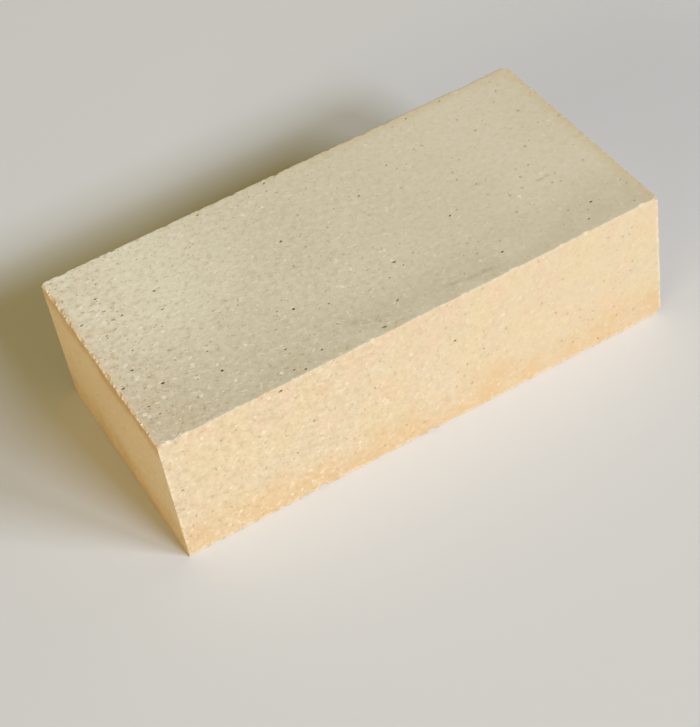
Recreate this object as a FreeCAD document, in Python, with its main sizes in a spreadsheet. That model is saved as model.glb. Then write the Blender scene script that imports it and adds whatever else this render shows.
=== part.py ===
# Refractory firebrick of the standard straight format, in millimetres.
# One block, dry-pressed in a mould and fired. It lies on one of its two pressed
# faces, with +X along its length, +Y across its width and +Z up, and the origin
# is the middle of the face that it lies on.
import FreeCAD, Part
import Sketcher
import os

NODE = "firebrick"
OUT_FOLDER = "parts"

# Driving dimensions: name, millimetres, meaning.
SIZES = (
    ("brick_length", 230, "along X"),
    ("brick_width", 114, "along Y"),
    ("brick_height", 65, "between the two pressed faces"),
    ("arris_radius", 0.8, "rounding of all twelve arrises"),
    ("spall_radius", 8, "roundness of the hollow where a corner has been knocked off"),
    ("back_spall_reach", 3, "how far the back right corner's hollow runs along each arris"),
    ("front_spall_reach", 2, "how far the front right corner's hollow runs along each arris"),
)

# A sketch names the ends of a line, and its own origin, by these numbers.
LINE_START = 1
LINE_END = 2
SKETCH_ORIGIN = (-1, 1)


def make_sheet(doc):
    """Spreadsheet with the driving dimensions, each under its own name."""
    sheet = doc.addObject("Spreadsheet::Sheet", "sizes")
    for row, (name, millimetres, meaning) in enumerate(SIZES, start=1):
        sheet.set(f"A{row}", meaning)
        sheet.set(f"B{row}", str(millimetres))
        sheet.setAlias(f"B{row}", name)
    doc.recompute()


def origin_plane(body, role):
    """The body's own origin plane with this role."""
    return next(plane for plane in body.Origin.OriginFeatures if plane.Role == role)


def draw_outline(body):
    """Outline of the pressed faces: a rectangle about the origin."""
    sketch = body.newObject("Sketcher::SketchObject", "pressed_face_outline")
    sketch.AttachmentSupport = [(origin_plane(body, "XY_Plane"), "")]
    sketch.MapMode = "FlatFace"

    corners = [FreeCAD.Vector(x, y, 0) for x, y in ((-1, -1), (1, -1), (1, 1), (-1, 1))]
    sides = [
        sketch.addGeometry(Part.LineSegment(corners[index - 1], corners[index]))
        for index in range(len(corners))
    ]
    left, front, right, back = sides
    for side, following in ((left, front), (front, right), (right, back), (back, left)):
        sketch.addConstraint(Sketcher.Constraint("Coincident", side, LINE_END, following, LINE_START))
    for side in (front, back):
        sketch.addConstraint(Sketcher.Constraint("Horizontal", side))
    for side in (left, right):
        sketch.addConstraint(Sketcher.Constraint("Vertical", side))
    sketch.addConstraint(
        Sketcher.Constraint("Symmetric", front, LINE_START, back, LINE_START, *SKETCH_ORIGIN)
    )

    for kind, side, name in (("DistanceX", front, "brick_length"), ("DistanceY", right, "brick_width")):
        index = sketch.addConstraint(Sketcher.Constraint(kind, side, LINE_START, side, LINE_END, 1))
        sketch.renameConstraint(index, name)
        sketch.setExpression(f"Constraints.{name}", f"sizes.{name}")
    return sketch


def press_block(body, outline):
    """The block between the two pressed faces."""
    block = body.newObject("PartDesign::Pad", "pressed_block")
    block.Profile = outline
    block.setExpression("Length", "sizes.brick_height")
    body.Document.recompute()
    return block


def round_arrises(body, block):
    """Small rounding along every arris of the block."""
    arrises = body.newObject("PartDesign::Fillet", "arrises")
    arrises.Base = (block, [f"Edge{number}" for number, _ in enumerate(block.Shape.Edges, start=1)])
    arrises.setExpression("Radius", "sizes.arris_radius")
    body.Document.recompute()


def knock_off_corner(body, name, side_sign):
    """Hollow of a knocked-off top corner at the right end, on the side with this sign of Y.

    It is part of a ball whose middle lies beyond the corner by the same step along each
    axis, such that the ball meets each of the three arrises at the hollow's reach.
    """
    reach = f"sizes.{name}_reach"
    step = f"(sqrt(sizes.spall_radius^2 / 3 - 2 * {reach}^2 / 9) - {reach} / 3)"
    hollow = body.newObject("PartDesign::SubtractiveSphere", name)
    hollow.setExpression("Radius", "sizes.spall_radius")
    hollow.setExpression("Placement.Base.x", f"sizes.brick_length / 2 + {step}")
    hollow.setExpression("Placement.Base.y", f"{side_sign} * (sizes.brick_width / 2 + {step})")
    hollow.setExpression("Placement.Base.z", f"sizes.brick_height + {step}")
    body.Document.recompute()


def check(doc, body):
    """Stop if any object of the document failed, or the solid is not a sound one."""
    for item in doc.Objects:
        failed = {"Invalid", "Error"}.intersection(item.State)
        if failed:
            raise RuntimeError(f"{item.Name} failed: {', '.join(sorted(failed))}")
    shape = body.Shape
    if shape.isNull() or not shape.isValid() or len(shape.Solids) != 1:
        raise RuntimeError(f"{body.Label} is not one valid solid")


def main():
    doc = FreeCAD.newDocument("firebrick")
    make_sheet(doc)

    body = doc.addObject("PartDesign::Body", NODE)
    body.Label = NODE
    body.Placement = FreeCAD.Placement()
    block = press_block(body, draw_outline(body))
    round_arrises(body, block)
    knock_off_corner(body, "back_spall", 1)
    knock_off_corner(body, "front_spall", -1)
    doc.recompute()

    check(doc, body)
    os.makedirs(OUT_FOLDER, exist_ok=True)
    body.Shape.exportStep(f"{OUT_FOLDER}/{body.Label}.step")


main()
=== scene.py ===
# A fired clay firebrick, as it lies on a pale floor: its skin with open pores, standing grains,
# crumbled arrises and knocked-off corners, and its matte clay, speckled and flashed by the fire.
import itertools
import math
import random
from collections import namedtuple

import bmesh
import bpy
from mathutils import Matrix, Vector, kdtree, noise


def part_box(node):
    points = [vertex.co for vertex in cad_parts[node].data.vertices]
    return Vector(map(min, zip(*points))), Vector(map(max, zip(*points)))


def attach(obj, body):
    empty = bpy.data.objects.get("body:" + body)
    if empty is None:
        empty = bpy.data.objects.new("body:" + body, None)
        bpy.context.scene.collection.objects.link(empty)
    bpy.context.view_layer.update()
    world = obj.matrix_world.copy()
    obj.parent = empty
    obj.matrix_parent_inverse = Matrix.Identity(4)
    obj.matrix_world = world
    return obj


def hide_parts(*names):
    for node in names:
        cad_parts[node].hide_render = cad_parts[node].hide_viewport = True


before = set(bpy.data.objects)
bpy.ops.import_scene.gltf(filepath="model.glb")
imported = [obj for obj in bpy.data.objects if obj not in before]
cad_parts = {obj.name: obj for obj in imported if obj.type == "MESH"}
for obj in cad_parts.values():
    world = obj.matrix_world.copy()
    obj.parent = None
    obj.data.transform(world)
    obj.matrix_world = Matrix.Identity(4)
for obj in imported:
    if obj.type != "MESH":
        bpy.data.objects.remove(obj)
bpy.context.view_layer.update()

Side = namedtuple("Side", "outward along across")
Mark = namedtuple("Mark", "centre inward along across radius stretch depth tone")
Chip = namedtuple("Chip", "centre radius")
Lamp = namedtuple("Lamp", "azimuth elevation width height colour")

NODE = "firebrick"
BODY = "root"
MM = 0.001
CM2_PER_M2 = 1e4
LOW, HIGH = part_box(NODE)
SIZE = HIGH - LOW
MIDDLE = (LOW + HIGH) / 2
HALF = SIZE / 2
AXES = (Vector((1, 0, 0)), Vector((0, 1, 0)), Vector((0, 0, 1)))
SIDES = {
    "top": Side(AXES[2], AXES[0], AXES[1]),
    "bottom": Side(-AXES[2], AXES[0], AXES[1]),
    "front": Side(-AXES[1], AXES[0], AXES[2]),
    "back": Side(AXES[1], AXES[0], AXES[2]),
    "left": Side(-AXES[0], AXES[1], AXES[2]),
    "right": Side(AXES[0], AXES[1], AXES[2]),
}
SEED = 7

# Camera: where it stands about the brick, in degrees and metres, and its lens
IMAGE_HEIGHT = 727
FOCAL_PIXELS = 1952
SENSOR = 36.0
CAMERA_AZIMUTH = -21.95
CAMERA_ELEVATION = 44.77
CAMERA_ROLL = -10.86
CAMERA_DISTANCE = 0.7972
CAMERA_AIM = Vector((-0.0216, -0.0322, 0.0325))

# Light: two window-like lamps from the front right, a large warm one low on the left, and a warm room
LAMP_DISTANCE = 8.0
# A lamp colour of (1, 1, 1) lights a white sheet that faces the lamp to full white
LAMPS = {
    "right_window": Lamp(40, 30, 2.4, 0.6, (0.465, 0.515, 0.605)),
    "front_window": Lamp(15, 30, 2.2, 1.1, (0.445, 0.49, 0.615)),
    "left_wall": Lamp(-60, 16, 5.5, 2.5, (0.505, 0.445, 0.31)),
}
ROOM_COLOUR = (0.205, 0.158, 0.035)
BACKDROP_COLOUR = (0.78, 0.77, 0.74)

# Floor: half its width in metres, and its finish
FLOOR_REACH = 4
FLOOR_COLOUR = (0.76, 0.755, 0.75)
FLOOR_ROUGHNESS = 0.8
FLOOR_SPECULAR = 0.2

# Mesh: coarse on the flats, finer at the arrises and at each mark
FLAT_CELL = 3.2 * MM
ARRIS_CELL = 0.4 * MM
ARRIS_BAND = 0.8 * MM
MARK_CELL = 0.2 * MM
MARK_MARGIN = 1.1
CELL_GROWTH = 1.0
SPLIT_ABOVE = 1.5
REFINE_PASSES = 4
NEARLY_PARALLEL = 0.99

# Wear of the arrises and waves of the flats
ARRIS_RADIUS = 0.3 * MM
ARRIS_WAVE = 7 * MM
GRAIN_BAND = 1.2 * MM
GRAIN_SIZE = 1.2 * MM
GRAIN_DEPTH = 0.5 * MM
GRAIN_RISE = 0.06 * MM
FLAT_WAVE = 45 * MM
FLAT_WAVE_DEPTH = 0.10 * MM
FULLY_WORN = 0.4 * MM
SMOOTH_BELOW = 0.5
FOLD_ANGLE = math.radians(80)
UNFOLD_PASSES = 8

# An arris or a corner is named by the sign of each axis there, 0 along an arris
SIGNS = tuple(itertools.product((-1, 0, 1), repeat=3))
ARRISES = tuple(signs for signs in SIGNS if signs.count(0) == 1)
CORNERS = tuple(signs for signs in SIGNS if 0 not in signs)
PLAIN_WEAR = 0.5
ARRIS_WEAR = {
    (-1, 0, 1): 2.0,
    (1, 0, 1): 0.8,
    (0, 1, 1): 0.4,
    (0, -1, -1): 0.45,
    (-1, -1, 0): 0.35,
    (1, -1, 0): 0.4,
}
# Larger nicks of each arris: millimetres along it from its middle, depth and ball radius
NICKS = {
    (-1, 0, 1): (
        (-28, 0.9, 4),
        (-22, 1.0, 4),
        (-10.5, 1.3, 5),
        (5, 0.8, 5),
        (15.5, 1.2, 5),
        (28, 1.2, 5),
        (36.5, 1.1, 4),
        (45, 1.2, 9),
    ),
    (0, -1, 1): (
        (-110, 0.8, 4),
        (-102, 0.9, 2.5),
        (-80, 0.7, 3),
        (1, 0.6, 2),
        (45, 0.8, 8),
        (68, 0.7, 3),
        (80, 0.9, 3),
        (107, 0.9, 5),
    ),
    (0, 1, 1): (
        (-78, 0.4, 4),
        (-40, 0.4, 4),
        (12, 0.5, 8),
        (33, 0.7, 6),
        (40, 1.0, 4),
        (52, 0.8, 8),
        (92, 0.8, 30),
    ),
    (1, 0, 1): (
        (-29, 0.5, 3),
        (-14, 0.5, 3),
        (24, 0.7, 3),
        (39, 0.7, 3),
        (45, 0.7, 4),
    ),
    (0, -1, -1): (
        (-62, 0.7, 2.5),
        (-53, 1.4, 3.5),
        (-1, 1.3, 3),
        (9, 0.7, 20),
        (42, 0.6, 2),
        (74, 0.8, 5),
    ),
}
# Small chips are strewn along the arrises, at about this spacing where the wear is 1
CHIP_SPACING = 3.5 * MM
# Their least depth and what chance adds, and how far outside the arris their ball lies, in millimetres
SMALL_CHIP_DEPTH = (0.15, 0.7)
SMALL_CHIP_OFFSET = (0.4, 2.5)
CHIP_ROUGHNESS = 0.25
# Every corner is nibbled this deep, in millimetres, and these ones deeper or less
PLAIN_NIBBLE = 0.6
NIBBLED = {
    (-1, -1, 1): 1.0,
    (1, -1, -1): 2.5,
    (-1, 1, 1): 1.3,
    (-1, -1, -1): 0.2,
}
NIBBLE_RADIUS = 4 * MM
# Hollows of the two knocked-off corners, as in the solid
SPALL_RADIUS = 8 * MM
BACK_SPALL_REACH = 3 * MM
FRONT_SPALL_REACH = 2 * MM

# Pores that stand out: millimetres along and across the face from its middle, radius, stretch
LARGE_PORES = {
    "top": (
        (-98, -27, 0.6, 1.2),
        (-76, -35, 0.6, 1.0),
        (-37, -22, 0.6, 1.0),
        (-22, 17, 0.55, 1.0),
        (-100, 34, 0.5, 1.0),
        (-78, 23, 0.5, 1.2),
        (-99, 18, 0.4, 2.0),
        (-95, 18, 0.45, 1.2),
        (-100, 25, 0.4, 2.0),
        (-80, 11, 0.4, 1.7),
        (-76, -22, 0.4, 1.0),
        (-108, -35, 0.45, 1.2),
        (-106, -41, 0.4, 1.2),
        (-112, -20, 0.5, 1.4),
        (-105, -13, 0.5, 1.4),
        (-100, -3, 0.4, 1.0),
        (-105, 11, 0.4, 1.2),
        (-111, 23, 0.45, 1.5),
        (-96, 42, 0.4, 1.2),
        (-53, -52, 0.45, 1.2),
        (-54, -6, 0.35, 1.0),
        (-39, -49, 0.45, 1.0),
        (-43, -19, 0.35, 1.0),
        (-27, -40, 0.35, 1.0),
        (-24, -28, 0.4, 1.0),
        (9, -23, 0.5, 1.7),
        (3, -30, 0.4, 1.2),
        (-1, -43, 0.4, 1.8),
        (-13, -53, 0.5, 2.0),
        (42, -13, 0.45, 1.2),
        (47, -45, 0.5, 1.2),
        (92, -42, 0.5, 1.4),
    ),
    "front": (
        (-62, 29.9, 0.55, 1.2),
        (-51, 6, 0.45, 1.0),
        (-110, 4.6, 0.45, 1.6),
        (-112, -5.5, 0.4, 1.6),
        (-90, 20, 0.4, 1.3),
        (-83, 21.5, 0.4, 1.0),
        (15, 10.5, 0.5, 1.2),
        (-23, 7, 0.45, 1.0),
        (20, -17.5, 0.4, 1.2),
        (-86, -29, 0.4, 1.0),
        (82, -29, 0.45, 1.2),
        (91, -15.5, 0.4, 1.1),
        (19, -5.5, 0.4, 1.2),
        (-95, 7, 0.4, 1.2),
        (-34, 4.5, 0.4, 1.0),
        (-23, -27, 0.4, 1.2),
    ),
}
# Pale grains of grog that stand out, in the same way
PALE_GRAINS = {
    "top": (
        (-84, -25, 0.8, 1.4),
        (-83, -21, 0.6, 1.6),
        (-105, -18, 1.1, 1.1),
        (-106, -9, 0.9, 1.7),
        (-101, -34, 0.8, 1.2),
        (-74, -43, 0.7, 1.2),
        (-108, 11, 0.6, 1.2),
        (-102, 23, 0.5, 1.2),
        (-92, 7, 0.7, 1.2),
        (-76, -31, 0.6, 1.3),
        (-111, -38, 0.8, 1.2),
        (-15, -22.5, 0.6, 2.2),
        (-7, -16, 0.6, 1.3),
        (71, -21, 0.7, 1.2),
    ),
    "front": (
        (38, 11.5, 0.7, 1.4),
        (-19, -3.5, 0.8, 1.8),
        (-57, -19.5, 0.6, 1.3),
        (-56, 6, 0.5, 1.2),
        (-34.5, 17, 0.7, 1.3),
    ),
}
# Further pores are strewn at random: how many on each square centimetre of a face, clear of its border
PORES_PER_CM2 = {"top": 0.2, "bottom": 0.28, "front": 0.1, "back": 0.22, "left": 0.12, "right": 0.12}
BORDER = 1 * MM
# Their least radius in millimetres and least stretch, each with what chance adds
SMALL_PORE_RADIUS = (0.25, 0.2)
SMALL_PORE_STRETCH = (1, 0.6)
# Every pore is turned at random between these angles, in radians
PORE_TURN = (-0.4, 0.7)
# The left end of the pressed faces is pitted more than the rest, most of all at its arris
PITTED_BAND = 30 * MM
PITTED_BIAS = 1.4
PITTED_PORES = 14
# A pore of this radius or more is darkest inside, and its dark rim reaches a little past its mouth;
# this dark is partly painted shade in the hollow, partly the clay's own
LARGE_PORE = 0.7 * MM
DARK_RIM = 1.3
RIM_FADE = 2
# How steep the wall of a pore is, and how ragged the outline of a mark
PORE_STEEPNESS = 1.7
RAGGED_SIZE = 0.6 * MM
RAGGEDNESS = 0.5
# The skin changes at most this far about a mark, in its long radii
MARK_REACH = 1.5

# Clay colours, 0 to 255 as on screen: a bed is a pressed face, and an end is a short side
CLAY = {
    "side": (208, 187, 150),
    "side_grey": (206, 186, 154),
    "side_pale": (223, 205, 174),
    "side_lump": (232, 216, 188),
    "side_broken": (214, 191, 153),
    "end": (213, 190, 152),
    "end_brown": (210, 186, 147),
    "end_broken": (248, 237, 219),
    "bed": (229, 219, 194),
    "bed_grey": (224, 213, 187),
    "bed_pale": (254, 248, 229),
    "bed_broken": (222, 204, 170),
    "rough_end_broken": (247, 230, 203),
    # Painted shade: bare clay near the right end, drawn dark as the shadowed hollows of its nicks
    "right_end_nick_shade": (160, 138, 96),
    "shade": (186, 164, 124),
    # Pits and pinholes are hollows in the relief: their dark is partly painted shade, partly the clay's
    # own
    "pit": (168, 147, 109),
    "pinhole": (150, 130, 94),
    "spot": (140, 120, 83),
    "scuff": (150, 138, 112),
}
# Tints laid over them: the colour, and how much of it shows where the tint is full
TINTS = {
    "side_blush": ((212, 181, 148), 0.4),
    "side_flash": ((213, 181, 151), 0.4),
    "side_foot": ((205, 172, 127), 0.7),
    # Pale rims of the sides at the ends and foot: partly pale grains, partly a painted highlight where
    # the arrises catch the light
    "side_rim_grains_and_highlight": ((228, 210, 178), 0.6),
    "end_amber": ((189, 149, 92), 0.85),
    "end_foot": ((201, 164, 114), 0.8),
    "bed_front": ((211, 198, 170), 0.75),
    # Painted light: the pressed face drawn paler towards the back left, where the light falls brighter
    "bed_back_left_light": ((247, 241, 217), 0.8),
    "bed_rough_end": ((229, 209, 179), 0.4),
    "bed_left_rim": ((238, 214, 180), 0.8),
    "bed_far_rim": ((221, 203, 162), 0.7),
    "brown_speck": ((118, 95, 60), 0.4),
    # Dark of the pores: partly painted shade in their hollows, partly the clay's own dark
    "pore": ((70, 56, 34), 0.8),
}
# Bands of the clay, in millimetres along an axis: where each begins and where it is full
BANDS = {
    "rough_end": (-72, -108),
    "leftwards": (90, -90),
    "foot": (24, 4),
    "crown": (44, 64),
    "flash": (110, -20),
    # Pale rims of the sides: partly pale grains, partly painted highlight on the arrises
    "side_rim_grains_and_highlight": (2, 0.4),
    "amber": (54, 64),
    "bed_front": (-15, -54),
    "bed_left": (-20, -100),
    "bed_back": (-40, 25),
    "back_rim": (-60, 60),
}
LEFT_RIM = 4 * MM
FAR_RIM = 7 * MM
SIDE_WAVE = 24 * MM
AMBER_WAVE = 12 * MM
# How far a face must look along Z to count as a bed, or along X as an end: from here, and fully
FACING = (0.55, 0.85)
# Specks in the clay: spacing in millimetres, size as a share of it, and share of the places taken
SPECKS = {
    "flecks": (4.5, 0.17, 0.6),
    "pinholes": (3.0, 0.17, 0.5),
    "brown_specks": (6.5, 0.12, 0.7),
    "spots": (5.5, 0.2, 0.9),
    "lumps": (7, 0.17, 0.8),
}
# Scuffs on the top: millimetres from its middle, half length, half width, turn in degrees, strength
SCUFFS = (
    (30, -49.8, 16, 1.8, -6, 0.28),
    (-17, -46, 9, 2.5, -20, 0.2),
    (85, -17.3, 3.8, 1.3, 7, 0.3),
)
SCUFF_WOBBLE = 2 * MM
SCUFF_WOBBLE_SIZE = 4 * MM
CLAY_ROUGHNESS = 0.93
CLAY_SPECULAR = 0.2
BUMP_STRENGTH = 0.42
BUMP_DEPTH = 0.3 * MM


def mostly_small(rng, least, spread):
    """A random value from the least up to the spread above it, mostly near the least."""
    return least + spread * rng.random() ** 2


def point_on(side, along, across):
    """A point of the face, by its distances from the middle of the face."""
    face_middle = MIDDLE + Vector(out * half for out, half in zip(side.outward, HALF))
    return face_middle + side.along * along + side.across * across


def mark_on(side, along, across, radius, stretch, turn, depth, tone):
    """A mark whose long way is turned by an angle within the face: tone 1 is dark, -1 is pale."""
    long_way = side.along * math.cos(turn) + side.across * math.sin(turn)
    short_way = side.across * math.cos(turn) - side.along * math.sin(turn)
    centre = point_on(side, along, across)
    return Mark(centre, -side.outward, long_way, short_way, radius, stretch, depth, tone)


def make_pore(rng, side, along, across, radius, stretch):
    """An open pore, as deep as its radius: the larger, the darker, partly as painted shade in its
    hollow.
    """
    darkness = min(1.0, radius / LARGE_PORE)
    return mark_on(side, along, across, radius, stretch, rng.uniform(*PORE_TURN), radius, darkness)


def make_grain(rng, side, along, across, radius, stretch):
    """A pale grain that stands a little proud of the skin."""
    return mark_on(side, along, across, radius, stretch, rng.uniform(0, math.pi), -GRAIN_RISE, -1.0)


def scatter_marks(rng):
    """All pores and grains that are shape: the chosen ones, and others at random."""
    marks = []
    for name, side in SIDES.items():
        for along, across, radius, stretch in LARGE_PORES.get(name, ()):
            marks.append(make_pore(rng, side, along * MM, across * MM, radius * MM, stretch))
        for along, across, radius, stretch in PALE_GRAINS.get(name, ()):
            marks.append(make_grain(rng, side, along * MM, across * MM, radius * MM, stretch))
        half_length = HALF.dot(side.along) - BORDER
        half_width = HALF.dot(side.across) - BORDER
        count = round(PORES_PER_CM2[name] * (4 * half_length * half_width * CM2_PER_M2))
        places = [rng.uniform(-1, 1) * half_length for _ in range(count)]
        if abs(side.outward.z) == 1:
            pitted = [PITTED_BAND * rng.random() ** PITTED_BIAS for _ in range(PITTED_PORES)]
            places += [from_end - half_length for from_end in pitted]
        for along in places:
            across = rng.uniform(-1, 1) * half_width
            radius = mostly_small(rng, *SMALL_PORE_RADIUS) * MM
            stretch = mostly_small(rng, *SMALL_PORE_STRETCH)
            marks.append(make_pore(rng, side, along, across, radius, stretch))
    return marks


def chip_on(signs, along, depth, radius):
    """A ball that cuts this deep into an arris, at a place along it, or into a corner."""
    outward = Vector(signs).normalized()
    edge = MIDDLE + Vector(sign * half if sign else along for sign, half in zip(signs, HALF))
    return Chip(edge + outward * (radius - depth), radius)


def knocked_off_corner(reach, side_sign):
    """Hollow of a knocked-off top corner at the right end, as in the solid."""
    step = math.sqrt(SPALL_RADIUS ** 2 / 3 - 2 * reach ** 2 / 9) - reach / 3
    corner = Vector((HIGH.x, MIDDLE.y + side_sign * HALF.y, HIGH.z))
    return Chip(corner + Vector((step, side_sign * step, step)), SPALL_RADIUS)


def scatter_chips(rng):
    """Chips out of the arrises and corners: the knocked-off corners, the nicks, and small ones."""
    chips = [knocked_off_corner(BACK_SPALL_REACH, 1), knocked_off_corner(FRONT_SPALL_REACH, -1)]
    for signs in CORNERS:
        chips.append(chip_on(signs, 0, NIBBLED.get(signs, PLAIN_NIBBLE) * MM, NIBBLE_RADIUS))
    for signs in ARRISES:
        for along, depth, radius in NICKS.get(signs, ()):
            chips.append(chip_on(signs, along * MM, depth * MM, radius * MM))
        wear = ARRIS_WEAR.get(signs, PLAIN_WEAR)
        run = signs.index(0)
        for _ in range(round(wear * SIZE[run] / CHIP_SPACING)):
            depth = mostly_small(rng, *SMALL_CHIP_DEPTH) * MM
            radius = depth + rng.uniform(*SMALL_CHIP_OFFSET) * MM
            chips.append(chip_on(signs, rng.uniform(-1, 1) * HALF[run], depth, radius))
    return chips


def nearest_arris(point):
    """The signs of the nearest arris, and how far a point of the skin lies from it."""
    offset = point - MIDDLE
    gaps = [half - abs(value) for half, value in zip(HALF, offset)]
    run = gaps.index(max(gaps))
    signs = tuple(0 if axis == run else (1 if value > 0 else -1) for axis, value in enumerate(offset))
    return signs, sorted(gaps)[1]


def runs_along(edge, axis):
    """Whether an edge of the block runs along this axis."""
    start, end = edge.verts
    return abs((end.co - start.co).normalized().dot(axis)) > NEARLY_PARALLEL


def grid_block():
    """A block of the brick's size, cut into a coarse grid."""
    bm = bmesh.new()
    bmesh.ops.create_cube(bm, size=1)
    bmesh.ops.scale(bm, vec=SIZE, verts=bm.verts)
    bmesh.ops.translate(bm, vec=MIDDLE, verts=bm.verts)
    for axis in AXES:
        run = [edge for edge in bm.edges if runs_along(edge, axis)]
        cuts = round(SIZE.dot(axis) / FLAT_CELL) - 1
        bmesh.ops.subdivide_edges(bm, edges=run, cuts=cuts, use_grid_fill=True)
    return bm


def tree_of(points):
    """The points as a tree that finds the near ones."""
    tree = kdtree.KDTree(len(points))
    for index, point in enumerate(points):
        tree.insert(point, index)
    tree.balance()
    return tree


def refine(bm, marks):
    """Split faces near the arrises and marks until they are small enough for the wear there."""
    near = tree_of([mark.centre for mark in marks])
    for _ in range(REFINE_PASSES):
        split = set()
        for face in bm.faces:
            middle = face.calc_center_median()
            cell = max(edge.calc_length() for edge in face.edges)
            arris_gap = max(0, nearest_arris(middle)[1] - 0.5 * cell - ARRIS_BAND)
            wanted = ARRIS_CELL + CELL_GROWTH * arris_gap
            _, index, distance = near.find(middle)
            mark = marks[index]
            mark_gap = max(0, distance - 0.5 * cell - MARK_MARGIN * mark.radius * mark.stretch)
            wanted = min(wanted, MARK_CELL + CELL_GROWTH * mark_gap)
            if cell > SPLIT_ABOVE * wanted:
                split.update(edge for edge in face.edges if edge.calc_length() > wanted)
        if not split:
            break
        bmesh.ops.subdivide_edges(bm, edges=list(split), cuts=1, use_grid_fill=True)


def soft_noise(point, size):
    """Noise from about 0 to 1, with features of about this size."""
    return 0.5 + 0.5 * noise.noise(point / size)


def wear_down(point):
    """Where a point of the sharp block ends up on the worn brick, and how worn it is there."""
    signs, gap = nearest_arris(point)
    offset = point - MIDDLE
    radius = ARRIS_RADIUS * (0.5 + soft_noise(point, ARRIS_WAVE))
    core = Vector(max(-half + radius, min(half - radius, value)) for half, value in zip(HALF, offset))
    outward = (offset - core).normalized()
    worn = MIDDLE + core + outward * min((offset - core).length, radius)
    bite = 0.0
    if gap < GRAIN_BAND:
        wear = ARRIS_WEAR.get(signs, PLAIN_WEAR)
        bite = (1 - gap / GRAIN_BAND) * wear * GRAIN_DEPTH * noise.cell(point / GRAIN_SIZE) ** 2
    wave = GRAIN_RISE + soft_noise(point, FLAT_WAVE) * FLAT_WAVE_DEPTH
    return worn - outward * (bite + wave), min(1.0, bite / FULLY_WORN)


def break_away(bm, chips, wear_layer):
    """Push what lies within each chip's ball out to its rough surface, as a flake breaks away."""
    bm.verts.ensure_lookup_table()
    near = tree_of([vert.co for vert in bm.verts])
    for chip in chips:
        for _, index, _ in near.find_range(chip.centre, chip.radius):
            vert = bm.verts[index]
            arm = vert.co - chip.centre
            rough = 1 - CHIP_ROUGHNESS * max(0.0, noise.noise(vert.co / GRAIN_SIZE))
            broken = (chip.radius - arm.length) * rough
            if broken > 0:
                vert.co += arm.normalized() * broken
                vert[wear_layer] = min(1.0, vert[wear_layer] + broken / FULLY_WORN)


def unfold(bm):
    """Smooth the few places where deep wear has folded the skin over itself."""
    for _ in range(UNFOLD_PASSES):
        bm.normal_update()
        folds = [edge for edge in bm.edges if edge.calc_face_angle() > FOLD_ANGLE]
        folded = {vert for edge in folds for vert in edge.verts}
        bmesh.ops.smooth_vert(
            bm, verts=list(folded), factor=0.5, use_axis_x=True, use_axis_y=True, use_axis_z=True
        )


def press_marks(bm, marks, tone_layer):
    """Sink each pore into the skin, raise each grain, and note their tones for the clay's colour."""
    bm.verts.ensure_lookup_table()
    near = tree_of([vert.co for vert in bm.verts])
    for mark in marks:
        for place, index, _ in near.find_range(mark.centre, MARK_REACH * mark.radius * mark.stretch):
            vert = bm.verts[index]
            arm = place - mark.centre
            ragged = 1 + RAGGEDNESS * noise.noise(place / RAGGED_SIZE)
            away = math.hypot(arm.dot(mark.along) / mark.stretch, arm.dot(mark.across))
            out = away / mark.radius * ragged
            if out < DARK_RIM and abs(arm.dot(mark.inward)) < mark.radius and vert[tone_layer] == 0:
                sunk = max(0.0, min(1.0, PORE_STEEPNESS * (1 - out ** 2)))
                vert.co += mark.inward * mark.depth * sunk
                vert[tone_layer] = mark.tone * min(1.0, RIM_FADE * (DARK_RIM - out))


def note_facing(bm, wear_layer):
    """Note how far each face looks along Z and along X, and shade all but the worn ones smooth."""
    pressed_layer = bm.faces.layers.float.new("pressed")
    header_layer = bm.faces.layers.float.new("header")
    for face in bm.faces:
        face.smooth = all(vert[wear_layer] < SMOOTH_BELOW for vert in face.verts)
        face[pressed_layer] = abs(face.normal.z)
        face[header_layer] = abs(face.normal.x)


def make_object(name, bm):
    """An object of this name, with the finished mesh."""
    mesh = bpy.data.meshes.new(name)
    bm.to_mesh(mesh)
    bm.free()
    item = bpy.data.objects.new(name, mesh)
    bpy.context.collection.objects.link(item)
    return item


def make_brick():
    """The brick's worn skin as one closed mesh."""
    rng = random.Random(SEED)
    marks = scatter_marks(rng)
    chips = scatter_chips(rng)
    bm = grid_block()
    refine(bm, marks)
    bmesh.ops.triangulate(bm, faces=bm.faces, quad_method="BEAUTY", ngon_method="BEAUTY")
    tone_layer = bm.verts.layers.float.new("tone")
    wear_layer = bm.verts.layers.float.new("wear")
    for vert in bm.verts:
        vert.co, vert[wear_layer] = wear_down(vert.co)
    break_away(bm, chips, wear_layer)
    unfold(bm)
    press_marks(bm, marks, tone_layer)
    bm.normal_update()
    note_facing(bm, wear_layer)
    return make_object("brick_skin", bm)


def srgb(red, green, blue):
    """A colour given as 0 to 255 on screen, as the shader takes it."""
    def linear(value):
        value /= 255
        return value / 12.92 if value <= 0.04045 else ((value + 0.055) / 1.055) ** 2.4
    return (linear(red), linear(green), linear(blue), 1.0)


def clay(name):
    """A clay colour by its name, as the shader takes it."""
    return srgb(*CLAY[name])


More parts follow.
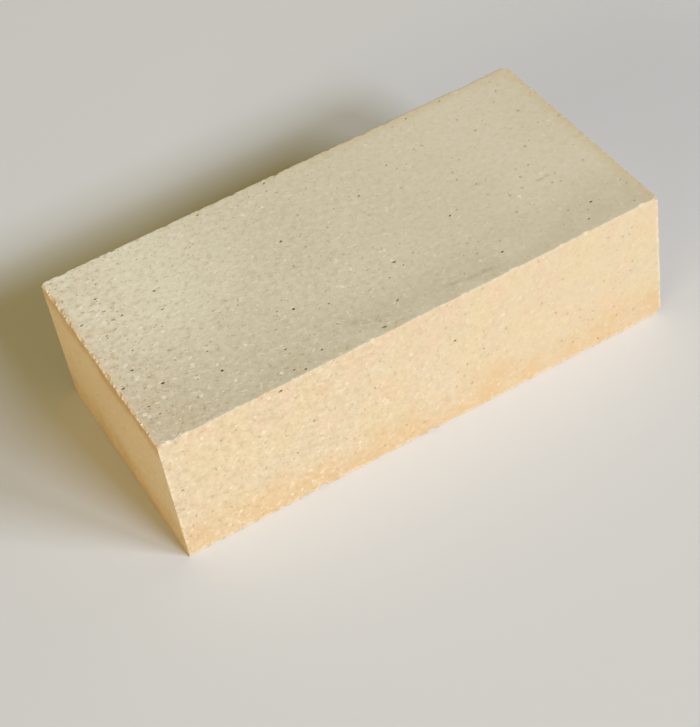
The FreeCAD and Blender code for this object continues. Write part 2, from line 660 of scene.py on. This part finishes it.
class Nodes:
    """Adds nodes to one tree: an input that is a socket is linked, and any other is set."""

    def __init__(self, tree):
        self.tree = tree

    def add(self, kind, inputs=(), **properties):
        node = self.tree.nodes.new(kind)
        for name, value in properties.items():
            setattr(node, name, value)
        for name, value in dict(inputs).items():
            self.put(node.inputs[name], value)
        return node

    def put(self, socket, value):
        if isinstance(value, bpy.types.NodeSocket):
            self.tree.links.new(value, socket)
        else:
            socket.default_value = value

    def math(self, operation, *inputs):
        return self.add("ShaderNodeMath", enumerate(inputs), operation=operation).outputs[0]

    def vector(self, operation, *inputs):
        return self.add("ShaderNodeVectorMath", enumerate(inputs), operation=operation).outputs[0]

    def times(self, first, *others):
        for other in others:
            first = self.math("MULTIPLY", first, other)
        return first

    def fade(self, value, low, high):
        """0 at low, 1 at high, smooth between."""
        node = self.add(
            "ShaderNodeMapRange",
            {"Value": value, "From Min": low, "From Max": high},
            interpolation_type="SMOOTHSTEP",
        )
        return node.outputs["Result"]

    def mix(self, share, first, second):
        """The first colour where the share is 0, the second where it is 1."""
        # The sockets go by number, because a Mix node has others of the same names for plain values
        inputs = {0: share, 6: first, 7: second}
        return self.add("ShaderNodeMix", inputs, data_type="RGBA", clamp_factor=True).outputs[2]

    def blend(self, share, first, second):
        """The first value where the share is 0, the second where it is 1."""
        inputs = {0: share, 2: first, 3: second}
        return self.add("ShaderNodeMix", inputs, data_type="FLOAT", clamp_factor=True).outputs[0]

    def noise(self, place, size, detail=2.0, roughness=0.5, shift=0.0):
        """Soft noise with features of about this size, in metres, moved by a shift of its own."""
        moved = self.vector("ADD", place, (shift, 2 * shift, 3 * shift)) if shift else place
        node = self.add(
            "ShaderNodeTexNoise",
            {"Vector": moved, "Scale": 1 / size, "Detail": detail, "Roughness": roughness},
        )
        return node.outputs["Fac"]


def speck_group():
    """Node group: ragged specks of uneven size, strewn through the clay and cut by its surface."""
    ragged_scale = 7.0
    raggedness = 0.3
    least_size = 0.3
    solid_core = 0.4
    tree = bpy.data.node_groups.new("clay_specks", "ShaderNodeTree")
    for name, kind in (
        ("Place", "NodeSocketVector"),
        ("Spacing", "NodeSocketFloat"),
        ("Size", "NodeSocketFloat"),
        ("Share", "NodeSocketFloat"),
    ):
        tree.interface.new_socket(name, in_out="INPUT", socket_type=kind)
    tree.interface.new_socket("Mask", in_out="OUTPUT", socket_type="NodeSocketFloat")
    nodes = Nodes(tree)
    given = nodes.add("NodeGroupInput").outputs
    scale = nodes.math("DIVIDE", 1.0, given["Spacing"])
    inputs = {0: given["Place"], "Scale": scale}
    cells = nodes.add("ShaderNodeVectorMath", inputs, operation="SCALE").outputs[0]
    inputs = {"Vector": cells, "Scale": ragged_scale, "Detail": 3.0}
    ragged = nodes.add("ShaderNodeTexNoise", inputs).outputs["Color"]
    push = nodes.vector("SUBTRACT", ragged, (0.5, 0.5, 0.5))
    pushed = nodes.vector("MULTIPLY_ADD", push, (raggedness, raggedness, raggedness), cells)
    grains = nodes.add("ShaderNodeTexVoronoi", {"Vector": pushed, "Scale": 1.0}).outputs
    chance = nodes.add("ShaderNodeSeparateColor", {"Color": grains["Color"]}).outputs
    there = nodes.math("LESS_THAN", chance["Red"], given["Share"])
    reach = nodes.times(given["Size"], nodes.blend(chance["Green"], least_size, 1.0))
    inside = nodes.fade(grains["Distance"], reach, nodes.times(reach, solid_core))
    nodes.add("NodeGroupOutput", {"Mask": nodes.times(inside, there)})
    return tree


class FiredClay(Nodes):
    """Nodes of the fired clay: masks that its layers share, and one method for each layer."""

    def __init__(self, tree, specks):
        super().__init__(tree)
        self.specks = specks
        self.place = self.add("ShaderNodeTexCoord").outputs["Object"]
        self.where = self.add("ShaderNodeSeparateXYZ", {"Vector": self.place}).outputs
        self.pressed = self.fade(self.layer("pressed"), *FACING)
        self.header = self.fade(self.layer("header"), *FACING)

        self.broad = self.noise(self.place, 60 * MM, 3.0)
        self.patch = self.noise(self.place, 17 * MM, 3.0)
        self.blush = self.noise(self.place, 11 * MM, 3.0, shift=0.31)
        self.mottle = self.noise(self.place, 2.8 * MM, 3.0, 0.7)
        self.grog = self.fade(self.noise(self.place, 2.6 * MM, 2.0, 0.6, shift=0.17), 0.57, 0.72)
        self.pits = self.fade(self.noise(self.place, 2.2 * MM, 1.0, shift=0.43), 0.64, 0.76)
        self.pinholes = self.strew("pinholes")

        self.rough_end = self.band("rough_end", self.where["X"])
        self.leftwards = self.band("leftwards", self.where["X"])
        # Near the right end: its warm rim on the top, and the painted shade in its nicks
        self.right_rim = self.fade(self.where["X"], HALF.x - FAR_RIM, HALF.x)
        self.height = self.wavy_height(SIDE_WAVE)
        self.foot = self.band("foot", self.height)
        self.blotch = self.math("ADD", self.times(self.fade(self.blush, 0.38, 0.6), 0.5), 0.65)
        self.texture = self.blend(self.header, self.blend(self.leftwards, 0.43, 1.0), 0.6)
        self.pale = self.mix(self.pressed, clay("side_pale"), clay("bed_pale"))

    def layer(self, name):
        """A value that the mesh carries under this name."""
        return self.add("ShaderNodeAttribute", attribute_name=name).outputs["Fac"]

    def strew(self, name):
        """Mask of the specks of this name."""
        spacing, size, share = SPECKS[name]
        inputs = {"Place": self.place, "Spacing": spacing * MM, "Size": size, "Share": share}
        return self.add("ShaderNodeGroup", inputs, node_tree=self.specks).outputs["Mask"]

    def band(self, name, value):
        """Mask of the band of this name, along a place or height in metres."""
        begin, full = BANDS[name]
        return self.fade(value, begin * MM, full * MM)

    def wavy_height(self, wave):
        """Height above the floor, shifted from patch to patch by up to half the wave."""
        shift = self.times(self.math("SUBTRACT", self.patch, 0.5), wave)
        return self.math("ADD", self.where["Z"], shift)

    def tint(self, colour, name, *masks):
        """The colour with the tint of this name laid over it where all the masks show."""
        tint, strength = TINTS[name]
        return self.mix(self.times(*masks, strength), colour, srgb(*tint))

    def side(self):
        """Long sides: faint blushes, flashed near the top, browner at the foot, with pale rims of
        grains and painted highlight.
        """
        colour = self.mix(self.fade(self.patch, 0.35, 0.65), clay("side"), clay("side_grey"))
        colour = self.tint(colour, "side_blush", self.fade(self.blush, 0.48, 0.66))
        crown = self.band("crown", self.height)
        flash = self.band("flash", self.where["X"])
        colour = self.tint(colour, "side_flash", crown, self.fade(self.blush, 0.4, 0.6), flash)
        colour = self.tint(colour, "side_foot", self.foot, self.blotch)
        end_gap = self.math("SUBTRACT", HALF.x, self.math("ABSOLUTE", self.where["X"]))
        # Pale rim along the ends and foot: partly pale grains, partly painted highlight on the arrises
        rim = self.band("side_rim_grains_and_highlight", self.math("MINIMUM", end_gap, self.where["Z"]))
        return self.tint(colour, "side_rim_grains_and_highlight", rim, self.fade(self.mottle, 0.7, 0.4))

    def end(self):
        """Ends: amber below the top arris, and brown at the foot."""
        colour = self.mix(self.fade(self.broad, 0.35, 0.65), clay("end"), clay("end_brown"))
        amber = self.band("amber", self.wavy_height(AMBER_WAVE))
        colour = self.tint(colour, "end_amber", amber, self.blotch)
        return self.tint(colour, "end_foot", self.foot, self.blotch)

    def bed(self):
        """Pressed faces: greyer in front, painted paler at the back left where more light falls, with
        warm rims elsewhere.
        """
        colour = self.mix(self.fade(self.broad, 0.3, 0.7), clay("bed"), clay("bed_grey"))
        front = self.band("bed_front", self.where["Y"])
        colour = self.tint(colour, "bed_front", front, self.fade(self.patch, 0.1, 0.6))
        left = self.band("bed_left", self.where["X"])
        back = self.band("bed_back", self.where["Y"])
        # Painted light: paler towards the back left, where the light falls brighter
        colour = self.tint(colour, "bed_back_left_light", left, back)
        colour = self.tint(colour, "bed_rough_end", self.rough_end, self.fade(self.patch, 0.3, 0.6))
        left_rim = self.fade(self.where["X"], LEFT_RIM - HALF.x, -HALF.x)
        colour = self.tint(colour, "bed_left_rim", left_rim, self.fade(self.blush, 0.3, 0.5))
        back_rim = self.fade(self.where["Y"], HALF.y - FAR_RIM, HALF.y)
        back_rim = self.times(back_rim, self.band("back_rim", self.where["X"]))
        far_rim = self.math("MAXIMUM", self.right_rim, back_rim)
        return self.tint(colour, "bed_far_rim", far_rim, self.fade(self.blush, 0.2, 0.5))

    def speckled(self, colour):
        """Mottled light and dark, with grog, pits, flecks, lumps, pinholes, specks and spots."""
        coarse = self.times(self.texture, self.blend(self.pressed, 0.64, 0.38))
        coarse = self.math("ADD", coarse, self.times(self.rough_end, self.pressed, 0.12))
        colour = self.mix(self.times(self.fade(self.mottle, 0.45, 0.75), coarse), colour, clay("shade"))
        colour = self.mix(self.times(self.fade(self.mottle, 0.48, 0.22), coarse), colour, self.pale)
        colour = self.mix(self.times(self.grog, coarse), colour, self.pale)
        # Pits and pinholes: hollows drawn dark, partly as painted shade in them
        colour = self.mix(self.times(self.pits, coarse), colour, clay("pit"))
        colour = self.mix(self.times(self.strew("flecks"), self.texture, 0.45), colour, self.pale)
        lump = self.mix(self.pressed, clay("side_lump"), clay("bed_pale"))
        share = self.blend(self.pressed, 0.55, 0.9)
        colour = self.mix(self.times(self.strew("lumps"), self.texture, share), colour, lump)
        share = self.blend(self.pressed, 0.6, 0.45)
        colour = self.mix(self.times(self.pinholes, self.texture, share), colour, clay("pinhole"))
        colour = self.tint(colour, "brown_speck", self.strew("brown_specks"))
        share = self.blend(self.leftwards, 0.45, 0.25)
        return self.mix(self.times(self.strew("spots"), share), colour, clay("spot"))

    def scuffed(self, colour):
        """Faint dark scuffs on the top, with wavering borders."""
        on_top = self.math("GREATER_THAN", self.where["Z"], MIDDLE.z)
        inputs = {"Vector": self.place, "Scale": 1 / SCUFF_WOBBLE_SIZE}
        wobble = self.add("ShaderNodeTexNoise", inputs).outputs["Color"]
        bent = self.vector("MULTIPLY_ADD", wobble, (0, SCUFF_WOBBLE, 0), self.place)
        for x, y, half_length, half_width, turn, strength in SCUFFS:
            centre = (x * MM, y * MM + SCUFF_WOBBLE / 2, 0)
            inputs = {"Vector": self.vector("SUBTRACT", bent, centre), "Angle": math.radians(-turn)}
            turned = self.add("ShaderNodeVectorRotate", inputs).outputs[0]
            arm = self.add("ShaderNodeSeparateXYZ", {"Vector": turned}).outputs
            along = self.fade(self.math("ABSOLUTE", arm["X"]), half_length * MM, 0.5 * half_length * MM)
            across = self.fade(self.math("ABSOLUTE", arm["Y"]), half_width * MM, 0.2 * half_width * MM)
            worn = self.fade(self.mottle, 0.3, 0.6)
            scuff = self.times(along, across, on_top, worn, strength, self.pressed)
            colour = self.mix(scuff, colour, clay("scuff"))
        return colour

    def marked(self, colour):
        """Dark pores, partly painted shade in their hollows, and ragged pale grains, where the mesh has
        them.
        """
        tone = self.layer("tone")
        colour = self.tint(colour, "pore", self.fade(tone, 0.0, 1.0))
        ragged = self.math("SUBTRACT", self.math("ADD", self.mottle, -0.7), tone)
        return self.mix(self.times(self.fade(ragged, 0.0, 0.6), 0.65), colour, self.pale)

    def broken(self, colour):
        """Bare clay where an arris or a corner has crumbled or broken away, painted dark near the right
        end as shade in the nicks there.
        """
        bare = self.mix(self.header, clay("side_broken"), clay("end_broken"))
        bare_bed = self.mix(self.rough_end, clay("bed_broken"), clay("rough_end_broken"))
        bare = self.mix(self.pressed, bare, bare_bed)
        # Near the right end the bare clay is painted dark, as shade in the nicks there
        bare = self.mix(self.right_rim, bare, clay("right_end_nick_shade"))
        crumbled = self.times(self.layer("wear"), self.fade(self.mottle, 0.65, 0.35), 0.8)
        return self.mix(crumbled, colour, bare)

    def relief(self):
        """Height of the finest grain, stronger towards the rough end."""
        height = self.math("ADD", self.mottle, self.times(self.grog, 0.5))
        height = self.math("SUBTRACT", height, self.times(self.pits, 0.5))
        height = self.math("SUBTRACT", height, self.times(self.pinholes, 0.4))
        return self.times(height, self.math("ADD", self.times(self.rough_end, 0.3), self.texture))


def clay_material(specks):
    """Fired clay: greyer on the pressed faces, warmer on the sides, with grog, specks and pores."""
    material = bpy.data.materials.new("fired_clay_skin")
    material.use_nodes = True
    material.node_tree.nodes.clear()
    nodes = FiredClay(material.node_tree, specks)
    colour = nodes.mix(nodes.pressed, nodes.mix(nodes.header, nodes.side(), nodes.end()), nodes.bed())
    colour = nodes.speckled(colour)
    colour = nodes.scuffed(colour)
    colour = nodes.marked(colour)
    colour = nodes.broken(colour)
    bump = nodes.add(
        "ShaderNodeBump",
        {"Height": nodes.relief(), "Strength": BUMP_STRENGTH, "Distance": BUMP_DEPTH},
    )
    shader = nodes.add(
        "ShaderNodeBsdfPrincipled",
        {
            "Base Color": colour,
            "Roughness": CLAY_ROUGHNESS,
            "Specular IOR Level": CLAY_SPECULAR,
            "Normal": bump.outputs["Normal"],
        },
    )
    nodes.add("ShaderNodeOutputMaterial", {"Surface": shader.outputs["BSDF"]})
    return material


def make_floor():
    """Plain pale floor under the brick."""
    bm = bmesh.new()
    bmesh.ops.create_grid(bm, x_segments=1, y_segments=1, size=FLOOR_REACH)
    floor = make_object("floor", bm)
    material = bpy.data.materials.new("pale_floor")
    material.use_nodes = True
    shader = material.node_tree.nodes["Principled BSDF"].inputs
    shader["Base Color"].default_value = (*FLOOR_COLOUR, 1)
    shader["Roughness"].default_value = FLOOR_ROUGHNESS
    shader["Specular IOR Level"].default_value = FLOOR_SPECULAR
    floor.data.materials.append(material)


def turn_to(azimuth, elevation, roll=0.0):
    """How a camera or lamp is turned that stands at these angles and looks inwards, in degrees."""
    return (
        Matrix.Rotation(math.radians(azimuth), 4, "Z")
        @ Matrix.Rotation(math.radians(90 - elevation), 4, "X")
        @ Matrix.Rotation(math.radians(roll), 4, "Z")
    )


def stand_at(data, aim, distance, turn):
    """An object that stands at a distance from a point and looks at it."""
    item = bpy.data.objects.new(data.name, data)
    item.matrix_world = Matrix.Translation(aim) @ turn @ Matrix.Translation((0, 0, distance))
    bpy.context.collection.objects.link(item)
    return item


def make_camera():
    """Camera at the photograph's viewing angle."""
    camera = bpy.data.cameras.new("camera")
    camera.sensor_fit = "VERTICAL"
    camera.sensor_height = SENSOR
    camera.lens = SENSOR * FOCAL_PIXELS / IMAGE_HEIGHT
    turn = turn_to(CAMERA_AZIMUTH, CAMERA_ELEVATION, CAMERA_ROLL)
    bpy.context.scene.camera = stand_at(camera, CAMERA_AIM, CAMERA_DISTANCE, turn)


def make_lamps():
    """The soft lamps about the brick."""
    for name, lamp in LAMPS.items():
        light = bpy.data.lights.new(name, "AREA")
        light.shape = "RECTANGLE"
        light.size = lamp.width
        light.size_y = lamp.height
        light.energy = (math.pi * LAMP_DISTANCE) ** 2
        light.color = lamp.colour
        stand_at(light, MIDDLE, LAMP_DISTANCE, turn_to(lamp.azimuth, lamp.elevation))


def make_room():
    """The room's own light, with a pale backdrop where the camera or a reflection sees it."""
    world = bpy.data.worlds.new("room")
    world.use_nodes = True
    world.node_tree.nodes.clear()
    nodes = Nodes(world.node_tree)
    path = nodes.add("ShaderNodeLightPath").outputs
    seen = nodes.math("MAXIMUM", path["Is Camera Ray"], path["Is Glossy Ray"])
    seen = nodes.math("MAXIMUM", seen, path["Is Transmission Ray"])
    room = nodes.add("ShaderNodeBackground", {"Color": (*ROOM_COLOUR, 1), "Strength": 1.0})
    backdrop = nodes.add("ShaderNodeBackground", {"Color": (*BACKDROP_COLOUR, 1), "Strength": 1.0})
    either = nodes.add("ShaderNodeMixShader", {0: seen, 1: room.outputs[0], 2: backdrop.outputs[0]})
    nodes.add("ShaderNodeOutputWorld", {"Surface": either.outputs[0]})
    bpy.context.scene.world = world


brick = make_brick()
brick.data.materials.append(clay_material(speck_group()))
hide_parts(NODE)
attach(brick, BODY)
make_floor()
make_camera()
make_lamps()
make_room()
bpy.context.scene.view_settings.view_transform = "Standard"
